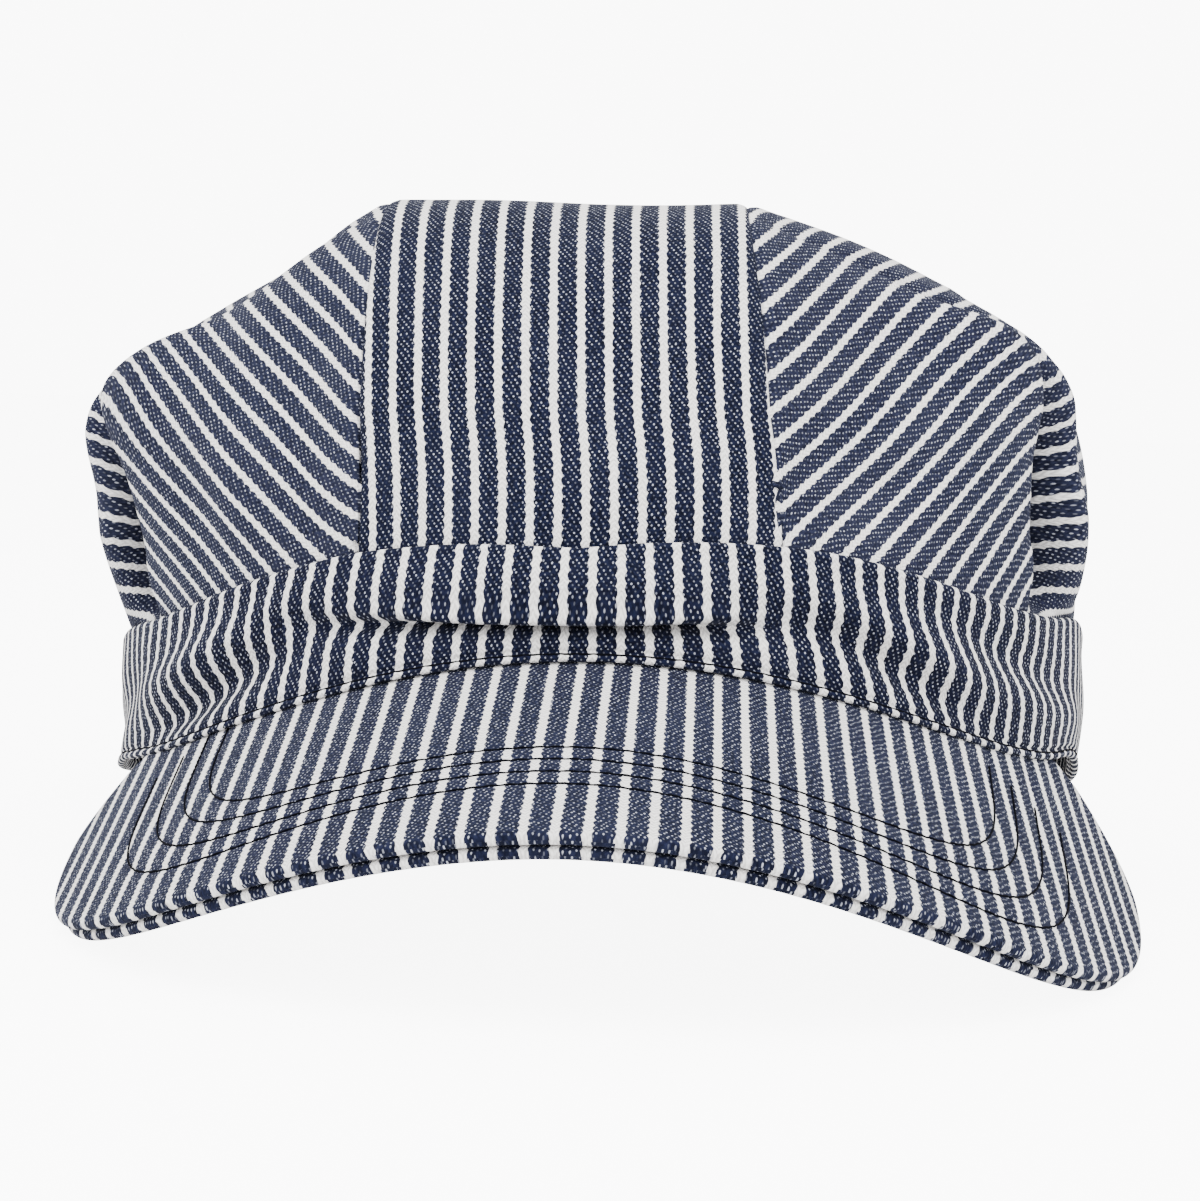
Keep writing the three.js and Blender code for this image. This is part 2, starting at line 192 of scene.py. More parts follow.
def peak_face(x, y):
    """Height of the peak's upper face."""
    side = (x - ARCH_CENTRE) / ARCH_SPAN
    return PEAK_TOP - PEAK_DROP * side**2 + PEAK_SLOPE * (y + HEAD_HALF_LENGTH)


def rim(angle):
    """Height of the band's foot: on the peak in front, on the table behind."""
    angle = np.asarray(angle, float)
    side = np.where(angle < 0, -1, 1)
    end = np.where(side < 0, PEAK_LEFT_ANGLE, PEAK_RIGHT_ANGLE) + side * BAND_STEP
    past = np.abs(angle) - np.abs(end)
    edge = np.where(past > 0, end, angle)
    return (peak_face(*band_plan(edge)) + SEAM_GAP) * evened(past, RIM_PAST, RIM_RISE)


def band_top(angle):
    """Height of the band's top, which the crown presses down a little in front."""
    keep = evened(np.abs(angle), KEEP_ANGLE, KEEP_HEIGHT)
    return rim(angle) + BAND_HEIGHT * keep + BAND_TILT * np.sin(np.radians(angle))


def slump(p):
    """The slack crown leans to the left and stands higher on the right."""
    high = np.maximum(0, p[..., 2] / CROWN_HEIGHT)
    side = p[..., 0] / HEAD_HALF_WIDTH
    out = p.copy()
    out[..., 2] += CROWN_LEAN * side * np.abs(side) * high
    out[..., 0] -= CROWN_SHIFT * high**1.5
    return out


LINE_ENDS = HEAD_HALF_LENGTH - PANEL_INSET
MIDDLE_LINE = np.vstack([
    (-LINE_ENDS, float(band_top(0)), MIDDLE_HALF_WIDTH),
    MIDDLE_ROWS * (HEAD_HALF_LENGTH, CROWN_HEIGHT, MIDDLE_HALF_WIDTH),
    (LINE_ENDS, float(band_top(180)), MIDDLE_HALF_WIDTH),
])
LINE_PLACES = np.linspace(0, len(MIDDLE_LINE) - 1, 801)
LINE_LENGTH = np.concatenate([[0], np.cumsum(np.hypot(
    np.diff(smooth(MIDDLE_LINE[:, 0], LINE_PLACES)), np.diff(smooth(MIDDLE_LINE[:, 1], LINE_PLACES))))])


def middle_point(share, across, extra=0.0):
    """Place on the middle panel: share runs from front to back, across from side to side."""
    place = np.interp(share * LINE_LENGTH[-1], LINE_LENGTH, LINE_PLACES)
    along, high, wide = (smooth(MIDDLE_LINE[:, k], place) for k in range(3))
    end = np.minimum(1, np.minimum(share, 1 - share) / SEAM_END)
    x = (wide + extra) * across + MIDDLE_SHIFT * (1 - end)
    turn = np.arcsin(x / (HEAD_HALF_WIDTH - PANEL_INSET))
    angle = np.degrees(turn)
    edge = np.where(share < 0.5, band_top(angle) - band_top(0), band_top(180 - angle) - band_top(180))
    z = high + edge * (1 - end) - MIDDLE_DIP * end * (1 - across**2)
    low = np.stack([x, along * np.cos(turn), z], -1)
    return low + (slump(low) - low) * end[..., None]


def normals_of(grid):
    """Normals of a grid, evened out over each point's neighbours by area."""
    n = np.cross(np.gradient(grid, axis=0), np.gradient(grid, axis=1))
    n = n / (np.linalg.norm(n, axis=-1, keepdims=True) + 1e-3)
    for axis in (0, 1):
        wide = np.pad(n, [(1, 1) if k == axis else (0, 0) for k in range(3)], mode="edge")
        n = sum(np.take(wide, range(k, k + n.shape[axis]), axis=axis) * share
                for k, share in enumerate((0.25, 0.5, 0.25)))
    return n / np.maximum(np.linalg.norm(n, axis=-1, keepdims=True), 1e-9)


def lengths(grid, axis):
    """Running length of each line of a grid, in millimetres."""
    step = np.linalg.norm(np.diff(grid, axis=axis), axis=-1)
    start = np.zeros_like(np.take(step, [0], axis=axis))
    return np.concatenate([start, np.cumsum(step, axis=axis)], axis=axis)


def edge_distance(grid):
    """Distance of each point of a grid from the nearest of its four edges, along its lines."""
    down, over = lengths(grid, 0), lengths(grid, 1)
    return np.minimum(np.minimum(down, down[-1:] - down), np.minimum(over, over[:, -1:] - over))


# Distances from a raw edge of the lines that make it round, in mm
EDGE_LINES = (0, 0.07, 0.2, 0.42, 0.7, 1.1)
PEAK_EDGE_LINES = (0, 0.08, 0.22, 0.45, 0.75, 1.1)


def edged(count, length, lines=EDGE_LINES):
    """Shares from 0 to 1, close together at both ends, where cloth turns over its edge."""
    fine = np.array(lines) / length
    inner = np.linspace(fine[-1], 1 - fine[-1], count)
    return np.concatenate([fine[:-1], inner, 1 - fine[:-1][::-1]])


def lay_in_place(points):
    """From millimetres about the head band to metres in the frame."""
    return (np.asarray(points, float) + CAP_PLACE) * MM


def new_piece(name, vertices, faces, material, loops_uv=None, node=None):
    """A smooth piece of the cap, which may take the place of one of the solids."""
    mesh = bpy.data.meshes.new(name)
    mesh.from_pydata(lay_in_place(vertices).tolist(), [], faces)
    if loops_uv is not None:
        layer = mesh.uv_layers.new(name="cloth")
        layer.data.foreach_set("uv", np.asarray(loops_uv, np.float32).ravel())
    mesh.materials.append(material)
    mesh.polygons.foreach_set("use_smooth", np.ones(len(mesh.polygons), bool))
    mesh.update()
    piece = bpy.data.objects.new(name, mesh)
    bpy.context.scene.collection.objects.link(piece)
    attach(piece, "root")
    if node:
        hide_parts(node)
    return piece


# Share of the wall that an edge keeps, and how far the underside's weave is shifted along, in mm
THINNEST_EDGE = 0.02
UNDERSIDE_SHIFT = (0, 0.9)


def sew_sheet(name, outer, wall, uv, material, node, around=False):
    """Closed cloth with round edges. outer is its outer face as a grid, uv its cut in mm.
    A sheet that goes all the way around repeats its first row as its last."""
    n = normals_of(outer)
    if around:
        n[0] = n[-1] = (n[0] + n[-1]) / np.linalg.norm(n[0] + n[-1], axis=-1, keepdims=True)
        over = lengths(outer, 1)
        far = np.minimum(over, over[:, -1:] - over)
    else:
        far = edge_distance(outer)
    radius = wall / 2
    full = np.sqrt(np.maximum(0, 1 - np.square(1 - np.minimum(far, radius) / radius)))[..., None]
    full = np.maximum(full, THINNEST_EDGE)
    heart = outer - n * radius
    face, back = heart + n * radius * full, heart - n * radius * full
    rows, columns = outer.shape[:2]
    ring = np.concatenate([face, back[:, ::-1]], axis=1)
    ring_uv = np.concatenate([uv, uv[:, ::-1] + UNDERSIDE_SHIFT], axis=1)
    if around:
        ring = ring[:-1]
    size = 2 * columns
    spans = rows - 1
    i, j = np.meshgrid(np.arange(spans), np.arange(size), indexing="ij")
    i, j = i.ravel(), j.ravel()
    after, beside = (i + 1) % len(ring), (j + 1) % size
    faces = np.stack([i * size + j, after * size + j, after * size + beside, i * size + beside], -1)
    corners = [(i, j), (i + 1, j), (i + 1, beside), (i, beside)]
    loops = np.stack([ring_uv[a, b] for a, b in corners], 1)
    if not around:
        k = np.arange(columns - 1)
        for row, order in ((0, 1), (rows - 1, -1)):
            cap = [(row, k), (row, k + 1), (row, size - 2 - k), (row, size - 1 - k)][::order]
            faces = np.concatenate([faces, np.stack([a * size + b for a, b in cap], -1)])
            loops = np.concatenate([loops, np.stack([ring_uv[a, b] for a, b in cap], 1)])
    return new_piece(name, ring.reshape(-1, 3), faces.tolist(), material, loops, node)


# The two ways of pairing neighbours in a grid: along its first axis, and along its second
SIDES = [((slice(None, -1), slice(None)), (slice(1, None), slice(None))),
         ((slice(None), slice(None, -1)), (slice(None), slice(1, None)))]

# When follow() stops, and the shortest step that it tells apart, in mm
FOLLOW_ROUNDS = 1500
FOLLOW_CLOSE = 1e-9
SHORTEST_STEP = 0.05


def follow(grid, wanted, cut):
    """Value at each point of a grid whose steps between neighbours come nearest to the wanted
    ones, by conjugate gradients. It may jump between the points where cut is set and the next row."""
    weight = [1 / np.maximum(np.linalg.norm(grid[b] - grid[a], axis=-1), SHORTEST_STEP) for a, b in SIDES]
    weight[0] = np.where(cut[:-1], 0, weight[0])

    def spread(rows):
        total = np.zeros(grid.shape[:2])
        for (a, b), row in zip(SIDES, rows):
            total[a] -= row
            total[b] += row
        return total

    left = spread([w * step for w, step in zip(weight, wanted)])
    lead, value, power = left.copy(), np.zeros_like(left), np.sum(left * left)
    for _ in range(FOLLOW_ROUNDS):
        pull = spread([w * (lead[b] - lead[a]) for (a, b), w in zip(SIDES, weight)])
        size = power / np.sum(lead * pull)
        value += size * lead
        left -= size * pull
        fresh = np.sum(left * left)
        if fresh < FOLLOW_CLOSE:
            break
        lead = left + lead * (fresh / power)
        power = fresh
    return value


def steps_along(grid, way):
    """How far each step between neighbours goes along a way given at each point."""
    return [np.sum((way[a] + way[b]) / 2 * (grid[b] - grid[a]), -1) for a, b in SIDES]


# Materials

# Weave, in mm: how often the stripes come, how deep and how long the bites in their edges are, how
# large the flecks are and how far apart, along a row and from row to row, and how often the ribs come
PITCH = 4.37
BITE = 0.32
BITE_LENGTH = 1.68
FLECK = 0.17
FLECK_STEP = (1.03, 0.56)
FLECK_SLANT = 0.35
RIB = 0.78
FLECK_COLOUR = (0.5, 0.52, 0.6, 1)
WHITE_LOW = (0.6, 0.58, 0.57, 1)
WHITE_HIGH = (0.9, 0.885, 0.87, 1)
BUMP_DEPTH = 0.00025


class Nodes:
    """Short names for building a material's nodes."""

    def __init__(self, material):
        self.tree = material.node_tree
        self.tree.nodes.clear()

    def add(self, kind, **settings):
        node = self.tree.nodes.new(kind)
        for key, value in settings.items():
            setattr(node, key, value)
        return node

    def link(self, value, socket):
        if isinstance(value, bpy.types.NodeSocket):
            self.tree.links.new(value, socket)
        else:
            socket.default_value = value

    def math(self, operation, *values):
        node = self.add("ShaderNodeMath", operation=operation)
        for value, socket in zip(values, node.inputs):
            self.link(value, socket)
        return node.outputs[0]

    def blend(self, share, low, high):
        node = self.add("ShaderNodeMix", data_type="RGBA")
        self.link(share, node.inputs["Factor"])
        self.link(low, node.inputs["A"])
        self.link(high, node.inputs["B"])
        return node.outputs["Result"]

    def noise(self, vector, scale, detail=2.0):
        node = self.add("ShaderNodeTexNoise")
        self.link(vector, node.inputs["Vector"])
        self.link(scale, node.inputs["Scale"])
        self.link(detail, node.inputs["Detail"])
        return node.outputs["Fac"]

    def ramp(self, value, low, high):
        """0 below low and 1 above high, softly."""
        node = self.add("ShaderNodeMapRange", interpolation_type="SMOOTHSTEP")
        for key, v in (("Value", value), ("From Min", low), ("From Max", high)):
            self.link(v, node.inputs[key])
        return node.outputs["Result"]


def striped_twill(name, navy, deep, thread, white, fleck_gain, uneven):
    """Cotton twill woven in navy and off-white stripes. The UV map is the cut, in millimetres.
    white is the white share of the width, and uneven how far the flecks stray from their rows."""
    material = bpy.data.materials.new(name)
    material.use_nodes = True
    t = Nodes(material)
    cut = t.add("ShaderNodeUVMap", uv_map="cloth").outputs["UV"]
    axes = t.add("ShaderNodeSeparateXYZ")
    t.link(cut, axes.inputs[0])
    wander = t.math("SUBTRACT", t.noise(cut, 0.35), 0.5)
    u = t.math("ADD", axes.outputs[0], t.math("MULTIPLY", wander, 0.3))
    v = t.math("ADD", axes.outputs[1], t.math("MULTIPLY", wander, 0.9))

    # Distance from the middle of the nearest white stripe, signed
    turn = t.math("ADD", t.math("DIVIDE", u, PITCH), 0.5)
    off = t.math("MULTIPLY", t.math("SUBTRACT", t.math("FRACT", turn), 0.5), PITCH)
    away = t.math("ABSOLUTE", off)
    side = t.math("SIGN", off)
    swing = t.math("MULTIPLY", t.math("ADD", v, t.math("MULTIPLY", side, 0.31 * BITE_LENGTH)),
                   math.pi / BITE_LENGTH)
    arc = t.math("ABSOLUTE", t.math("SINE", swing))
    rough = t.math("MULTIPLY", t.math("SUBTRACT", t.noise(cut, 2.2), 0.5), 0.22)
    half = t.math("SUBTRACT", 0.5 * white * PITCH + 0.5 * BITE, t.math("MULTIPLY", arc, BITE))
    half = t.math("ADD", half, rough)
    is_white = t.math("SUBTRACT", 1.0, t.ramp(t.math("SUBTRACT", away, half), -0.05, 0.06))

    # White flecks where the filling shows between the navy threads, in slanting rows
    row = t.math("ROUND", t.math("DIVIDE", v, FLECK_STEP[1]))
    dv = t.math("SUBTRACT", v, t.math("MULTIPLY", row, FLECK_STEP[1]))
    slid = t.math("ADD", u, t.math("MULTIPLY", row, FLECK_STEP[0] * FLECK_SLANT))
    place = t.math("ROUND", t.math("DIVIDE", slid, FLECK_STEP[0]))
    du = t.math("SUBTRACT", slid, t.math("MULTIPLY", place, FLECK_STEP[0]))
    cell = t.add("ShaderNodeCombineXYZ")
    t.link(place, cell.inputs[0])
    t.link(row, cell.inputs[1])
    chance = t.add("ShaderNodeTexWhiteNoise", noise_dimensions="2D")
    t.link(cell.outputs[0], chance.inputs["Vector"])
    draw = t.add("ShaderNodeSeparateColor")
    t.link(chance.outputs["Color"], draw.inputs[0])
    du = t.math("ADD", du, t.math("MULTIPLY", t.math("SUBTRACT", draw.outputs[0], 0.5), uneven))
    dv = t.math("ADD", dv, t.math("MULTIPLY", t.math("SUBTRACT", draw.outputs[1], 0.5), uneven))
    away_from_fleck = t.math("SQRT", t.math("ADD", t.math("POWER", du, 2.0),
                                            t.math("MULTIPLY", t.math("POWER", dv, 2.0), 0.8)))
    dot = t.math("SUBTRACT", 1.0, t.ramp(away_from_fleck, FLECK * 0.45, FLECK * 1.15))
    strength = t.math("MULTIPLY", dot, t.math("ADD", t.math("POWER", draw.outputs[2], 1.6), 0.12))
    strength = t.math("MULTIPLY", strength, fleck_gain)

    # Colours, mottled and a little faded in patches
    mottled = t.ramp(t.noise(cut, 1.6, 4.0), 0.35, 0.68)
    dark = t.blend(mottled, (*deep, 1), (*navy, 1))
    patches = t.ramp(t.noise(cut, 0.05, 3.0), 0.35, 0.7)
    faded = t.blend(t.math("MULTIPLY", patches, 0.25), dark, (*thread, 1))
    navy_cloth = t.blend(strength, faded, FLECK_COLOUR)
    slant = t.math("ADD", u, t.math("MULTIPLY", v, t.math("MULTIPLY", side, 0.9)))
    rib = t.math("SINE", t.math("MULTIPLY", slant, math.tau / RIB))
    grain = t.math("ADD", t.math("MULTIPLY", t.noise(cut, 2.6, 5.0), 0.9), t.math("MULTIPLY", rib, 0.17))
    light_cloth = t.blend(t.ramp(grain, 0.2, 0.62), WHITE_LOW, WHITE_HIGH)
    colour = t.blend(is_white, navy_cloth, light_cloth)

    # Relief: the round floats of the twill and slanting ribs in the white
    height = t.math("ADD", t.math("MULTIPLY", dot, 0.5), t.math("MULTIPLY", rib, 0.3))
    height = t.math("ADD", height, t.math("MULTIPLY", t.noise(cut, 2.4, 4.0), 0.6))
    bump = t.add("ShaderNodeBump")
    t.link(0.5, bump.inputs["Strength"])
    t.link(BUMP_DEPTH, bump.inputs["Distance"])
    t.link(height, bump.inputs["Height"])

    shader = t.add("ShaderNodeBsdfPrincipled")
    t.link(colour, shader.inputs["Base Color"])
    shader.inputs["Roughness"].default_value = 0.92
    shader.inputs["Specular IOR Level"].default_value = 0.07
    shader.inputs["Sheen Weight"].default_value = 0.03
    shader.inputs["Sheen Roughness"].default_value = 0.45
    shader.inputs["Sheen Tint"].default_value = (0.82, 0.86, 1.0, 1)
    t.link(bump.outputs["Normal"], shader.inputs["Normal"])
    out = t.add("ShaderNodeOutputMaterial")
    t.link(shader.outputs[0], out.inputs["Surface"])
    return material


crown_cloth = striped_twill(
    "hickory stripe twill", navy=(0.0062, 0.0085, 0.026), deep=(0.0016, 0.0022, 0.0075),
    thread=(0.011, 0.0135, 0.034), white=0.32, fleck_gain=0.75, uneven=0.14)
# Painted light: the side panels take a lighter navy than the middle panel, standing in for the brighter
# light that falls on the sides
side_cloth_with_painted_light = striped_twill(
    "hickory stripe twill of the side panels with painted light", navy=(0.0155, 0.0182, 0.041),
    deep=(0.0053, 0.0064, 0.0157), thread=(0.0265, 0.030, 0.053), white=0.29, fleck_gain=0.75, uneven=0.14)
# Painted sheen: the peak's navy is lighter than the crown's, standing in for the sheen of the cloth at
# grazing angles
peak_cloth_with_painted_sheen = striped_twill(
    "hickory stripe twill on the peak with painted sheen", navy=(0.0098, 0.0125, 0.034), deep=(0.0028, 0.0038, 0.011),
    thread=(0.017, 0.020, 0.044), white=0.32, fleck_gain=0.8, uneven=0.3)


def plain_material(name, colour, roughness):
    """One colour with a fine grain."""
    material = bpy.data.materials.new(name)
    material.use_nodes = True
    t = Nodes(material)
    where = t.add("ShaderNodeTexCoord").outputs["Object"]
    grain = t.noise(where, 900.0, 3.0)
    low, high = (tuple(factor * c for c in colour) + (1,) for factor in (0.8, 1.15))
    shade = t.blend(grain, low, high)
    shader = t.add("ShaderNodeBsdfPrincipled")
    t.link(shade, shader.inputs["Base Color"])
    shader.inputs["Roughness"].default_value = roughness
    shader.inputs["Specular IOR Level"].default_value = 0.04
    out = t.add("ShaderNodeOutputMaterial")
    t.link(shader.outputs[0], out.inputs["Surface"])
    return material


black_thread = plain_material("black sewing thread", (0.0022, 0.0024, 0.0045), 0.95)


# Head band

def band_swell(angle, up):
    """How far the folds push the band out. up runs from 0 at its foot to 1 at its top."""
    out = 0
    for at, spread, high, width, depth, slant in BAND_FOLDS:
        turn = angle - at
        turn = turn - 360 * np.round(turn / 360)
        out = out + depth * bell(turn / spread) * bell((up - high - slant * turn) / width)
    return out * np.minimum(1, (1 - up) / 0.2) * np.minimum(1, up / 0.08)


# The crease across the front: how high it runs above the foot of the band, and how it fades out sideways
CREASE_UP = 7.0
CREASE_RISE = 0.04
CREASE_SAG = 3.2
CREASE_FADE = [-56, -46, -34, -20, 14, 26, 38]
CREASE_SHARE = [0, 0.12, 0.55, 1, 1, 0.45, 0]

# Across the crease, in mm: each hump's size, its middle above the crease, and how wide it is. The
# crease itself is cut in by SINK, and is softer above where it fades out.
CREASE_ROLLS = [(2.0, 4.6, 4.4), (0.9, 1.6, 1.3)]
CREASE_DROP = (-2.2, 1.4, 1.7)
CREASE_SINK = -5.6
SINK_BELOW = 2.0
SINK_ABOVE = 0.7
SINK_SOFTER = 1.6

# The hem at the band's foot, as the same humps above the foot: its roll, and the line sewn above it
HEM_ROLL = (0.45, 0.9, 0.85)
HEM_LINE = (-0.5, 1.9, 0.4)

# How far the foot of the band is pushed round the head, in mm, by the angle
SWAY_ANGLE = [-110, -80, -55, -35, -15, 10, 22, 38, 58, 80, 110]
SWAY = [0, -3, -4.5, -2.4, 0, 0.8, 2.8, 5.0, 5.4, 3.6, 0]
SWAY_CURVE = 1.2

BAND_RIPPLE = (0.22, 3, 26)
BAND_MM_PER_DEGREE = 1.55
BAND_ROWS = 601
BAND_LINES = 72
MEASURED_LINE = 36
BAND_STRIPE_START = 2.19


def crease(x, over):
    """Outward and upward shift of the band near its front crease, over mm above it."""
    share = evened(x, CREASE_FADE, CREASE_SHARE, 3)
    over = over + CREASE_SAG * (1 - share)
    roll = sum(mound(over, *row) for row in CREASE_ROLLS)
    sunk = hump(over, CREASE_SINK, 0, SINK_BELOW, SINK_ABOVE + SINK_SOFTER * (1 - share))
    return share * (roll + sunk), share**2 * mound(over, *CREASE_DROP)


def band_shape(angle, up):
    """Outer face of the band, and its height above the foot in mm."""
    height = band_top(angle) - rim(angle)
    above = up * height
    out = band_swell(angle, up)
    loose = np.minimum(1, np.minimum(up, 1 - up) / 0.2)
    out = out + ripple(angle * BAND_MM_PER_DEGREE, above, *BAND_RIPPLE) * loose
    x, y = band_plan(angle)
    over = rim(angle) + above - (rim(0) + CREASE_UP + CREASE_RISE * x)
    free = np.minimum(1, (1 - up) / 0.15) * np.minimum(1, up / 0.12) * (y < 0)
    push, lower = crease(x, over)
    hem = mound(above, *HEM_ROLL) + mound(above, *HEM_LINE)
    x, y = band_plan(angle, -(out + push * free + hem))
    z = rim(angle) + above + lower * free
    return np.stack([x + 0 * z, y + 0 * z, z], -1), above


def build_band():
    angle = np.linspace(-180, 180, BAND_ROWS)[:, None]
    up = edged(BAND_LINES, BAND_HEIGHT)[None, :]
    outer, above = band_shape(angle, up)
    around = lengths(outer[:, MEASURED_LINE:MEASURED_LINE + 1], 0)
    around = around - around[BAND_ROWS // 2, 0] + BAND_STRIPE_START
    sway = evened(angle, SWAY_ANGLE, SWAY, 4)
    uv = np.stack([around - sway * (1 - up) ** SWAY_CURVE, above], -1)
    return sew_sheet("band_cloth", outer, BAND_WALL, uv, crown_cloth, "head_band",
                     around=True)


band = build_band()


# Crown

# Lines of a panel's edge that is tucked down behind the band, and how the cloth comes free above it
TUCK = np.linspace(0.4, TUCK_DEPTH, 5)[:, None] * np.array([0, 0, -1.0])
TUCK_FADE = 12
TUCK_HELD = 0.4

# How far the cloth is drawn in at a seam, as a hump by the distance from it, and where it ripples freely
SEAM_DIP = (0.75, 0, 1.1)
SEAM_CALM = 8

MIDDLE_LINES = (240, 70)
MIDDLE_RIPPLE = (0.4, 11, 40)
MIDDLE_STRIPE_START = 1.2


def sewn_in(grid, over, down, far, run, waves):
    """The grid with gentle ripples, drawn in at its seams and left in place near its tucks."""
    free = np.clip(run / TUCK_FADE - TUCK_HELD, 0, 1)
    lift = ripple(over, down, *waves) * free * np.minimum(1, far / SEAM_CALM) - mound(far, *SEAM_DIP) * free
    return grid + normals_of(grid) * lift[..., None]


def build_middle():
    share = edged(MIDDLE_LINES[0], LINE_LENGTH[-1])[:, None]
    across = (1 - 2 * edged(MIDDLE_LINES[1], 2 * MIDDLE_HALF_WIDTH))[None, :]
    grid = middle_point(share + 0 * across, across + 0 * share)
    grid = np.concatenate([grid[:1] + TUCK[::-1, None], grid, grid[-1:] + TUCK[:, None]])
    over, down = lengths(grid, 1), lengths(grid, 0)
    far = np.minimum(over, over[:, -1:] - over)
    grid = sewn_in(grid, over, down, far, np.minimum(down, down[-1:] - down), MIDDLE_RIPPLE)
    middle = over - over[:, -1:] / 2
    uv = np.stack([MIDDLE_STRIPE_START - middle, down], -1)
    return sew_sheet("crown_middle_cloth", grid, PANEL_WALL, uv, crown_cloth, "crown_middle_panel")


# The side panels. A place counts their sections, and side is 1 on the right and -1 on the left.
CLOSE_SEAM = -0.15
SHOULDER_PLACE = {1: 6.0, -1: 4.6}
SHOULDER_SPREAD = 1.8
SHOULDER_LIFT = {1: 0.4, -1: -2.2}
SHOULDER_OUT = {1: 0.0, -1: 0.7}
UPPER_LIFT = {1: 1.6, -1: -2.0}
UPPER_SHARE = 0.55
LOWER_SHARE = 0.45
SIDE_LINES = (90, 100)
SIDE_RIPPLE = {1: (0.5, 21, 38), -1: (0.5, 19, 38)}

# The pleat at the temple, as humps by the mm behind the line at its place: size, middle and widths.
# Fold and trim go in towards the middle of the head, and lip and crest come out from it. The hollow
# under the front edge goes straight back, and the cloth behind it bulges straight forward.
PLEAT_PLACE = 3.95
PLEAT_FOLD = (13.5, 2, 3.2, 6.5)
PLEAT_LIP = (1.2, -4.2, 2.2)
PLEAT_CREST = {1: (3.4, 16, 7), -1: (1.0, 16, 7)}
PLEAT_TRIM = {1: (4.2, 27, 15), -1: (3.0, 27, 15)}
PLEAT_HOLLOW = (6.0, 5.5, 3.6)
PLEAT_BULGE = (5.6, 15.5, 6.5, 11)
FOLD_CENTRE = (0, 0, 50.0)

# How deep the pleat and its trim are, by the share of the way down the panel
PLEAT_DOWN = [0, 0.3, 0.4, 0.48, 0.6, 0.82, 0.93, 1]
PLEAT_DEEP = [0, 0.02, 0.14, 0.42, 0.85, 1, 0.55, 0.03]
TRIM_DOWN = [0, 0.3, 0.5, 0.75, 0.95]
TRIM_DEEP = [0, 0, 1, 0.7, 0]

# Places of the rows, closer together at the pleat, and the hidden one where the stripes may jump
ROW_PLACES = np.concatenate([np.linspace(0, 2.9, 80)[:-1], np.linspace(2.9, 5.1, 130)[:-1],
                             np.linspace(5.1, 10, 120)])
PLEAT_HIDDEN = 4.1


def corner_angle(side, behind):
    """Angle round the head of the panel's front or back corner."""
    x = side * (MIDDLE_HALF_WIDTH + CLOSE_SEAM) + MIDDLE_SHIFT
    angle = math.degrees(math.asin(x / (HEAD_HALF_WIDTH - PANEL_INSET)))
    return np.where(behind, side * 180 - angle, angle)


def side_surface(side, places, steps):
    """A side panel before it is pleated. steps run from 0 at its seam to 4 at its foot."""
    at = [smooth(SIDE_ROWS[:, k], places) for k in range(8)]
    table_angle, share, out, along, high, roof, flank, opened = at
    opened = np.clip(opened, 0, 1)
    angle = corner_angle(side, table_angle > 90) * (1 - opened) + side * table_angle * opened
    seam = middle_point(share, side + 0 * share, CLOSE_SEAM)
    foot_x, foot_y = band_plan(angle, PANEL_INSET)
    foot = np.stack([foot_x, foot_y, band_top(angle) + SEAM_GAP], -1)
    shaped = slump(np.stack([side * out * CROWN_HALF_WIDTH, along * HEAD_HALF_LENGTH,
                             high * CROWN_HEIGHT], -1))
    shaped[:, 0] -= SIDE_SHIFT
    near_top = bell((places - SHOULDER_PLACE[side]) / SHOULDER_SPREAD)
    shaped[:, 2] += SHOULDER_LIFT[side] * near_top
    shaped[:, 0] += side * SHOULDER_OUT[side] * near_top
    shoulder = (seam + foot) / 2 * (1 - opened[:, None]) + shaped * opened[:, None]
    outward = np.stack([foot_x, foot_y, 0 * foot_x], -1)
    outward /= np.linalg.norm(outward, axis=-1, keepdims=True)
    upper = seam + (shoulder - seam) * UPPER_SHARE
    upper[:, 2] += roof * CROWN_HALF_WIDTH + UPPER_LIFT[side] * near_top
    lower = shoulder + (foot - shoulder) * LOWER_SHARE + outward * (flank * CROWN_HALF_WIDTH)[:, None]
    knots = np.stack([seam, upper, shoulder, lower, foot])
    face = np.stack([np.stack([smooth(knots[:, i, k], steps) for k in range(3)], -1)
                     for i in range(len(places))])
    end = np.where(places < 5, 0, 1)[:, None]
    edge = middle_point(share[:, None] + (end - share[:, None]) * steps / 4, side, CLOSE_SEAM)
    return edge + (face - edge) * opened[:, None, None]


# Where the front stripes of the side panels lie in the picture: the cloth's cut in mm across the stripes,
# as a sum of terms factor * x**i * y**j. x goes outward from the picture's middle and y down from a third
# of its height, both in twelfths of its width.
STRIPES_SEEN = {
    -1: [(0, 0, -0.475), (0, 1, -62.678), (0, 2, -13.215), (0, 3, 1.044), (0, 4, 0.096), (1, 0, 37.762),
         (1, 1, 46.14), (1, 2, 8.024), (1, 3, -0.439), (2, 0, -24.9), (2, 1, -13.959), (2, 2, -1.198),
         (3, 0, 5.436), (3, 1, 1.414), (4, 0, -0.453)],
    1: [(0, 0, -1.166), (0, 1, 3.133), (0, 2, -2.741), (0, 3, -0.488), (0, 4, -0.239), (1, 0, -8.34),
        (1, 1, 12.3), (1, 2, 2.667), (1, 3, 0.224), (2, 0, 9.224), (2, 1, -5.378), (2, 2, -0.51),
        (3, 0, -1.859), (3, 1, 0.738), (4, 0, 0.152)],
}
SEEN_SCALE = 30.36
SEEN_LEVEL = 2.005
SEEN_REACH = (1.4, 4.6)
SEEN_STEP = 0.1

# How much of a side panel the picture shows: up to how far back, further where it is higher than the
# pleat, and from how much it faces the camera
SEEN_BACK_TO = -36.0
SEEN_FURTHER = 34
SEEN_ABOVE = 78
SEEN_GROWS = 16
FACING_FROM = 0.03
FACING_GROWS = 0.1

# Direction across the stripes behind the head, and how far a face must turn back to take it
REAR_OUT = 0.78
REAR_UP = 0.62
REAR_FROM = 0.2
REAR_GROWS = 0.5


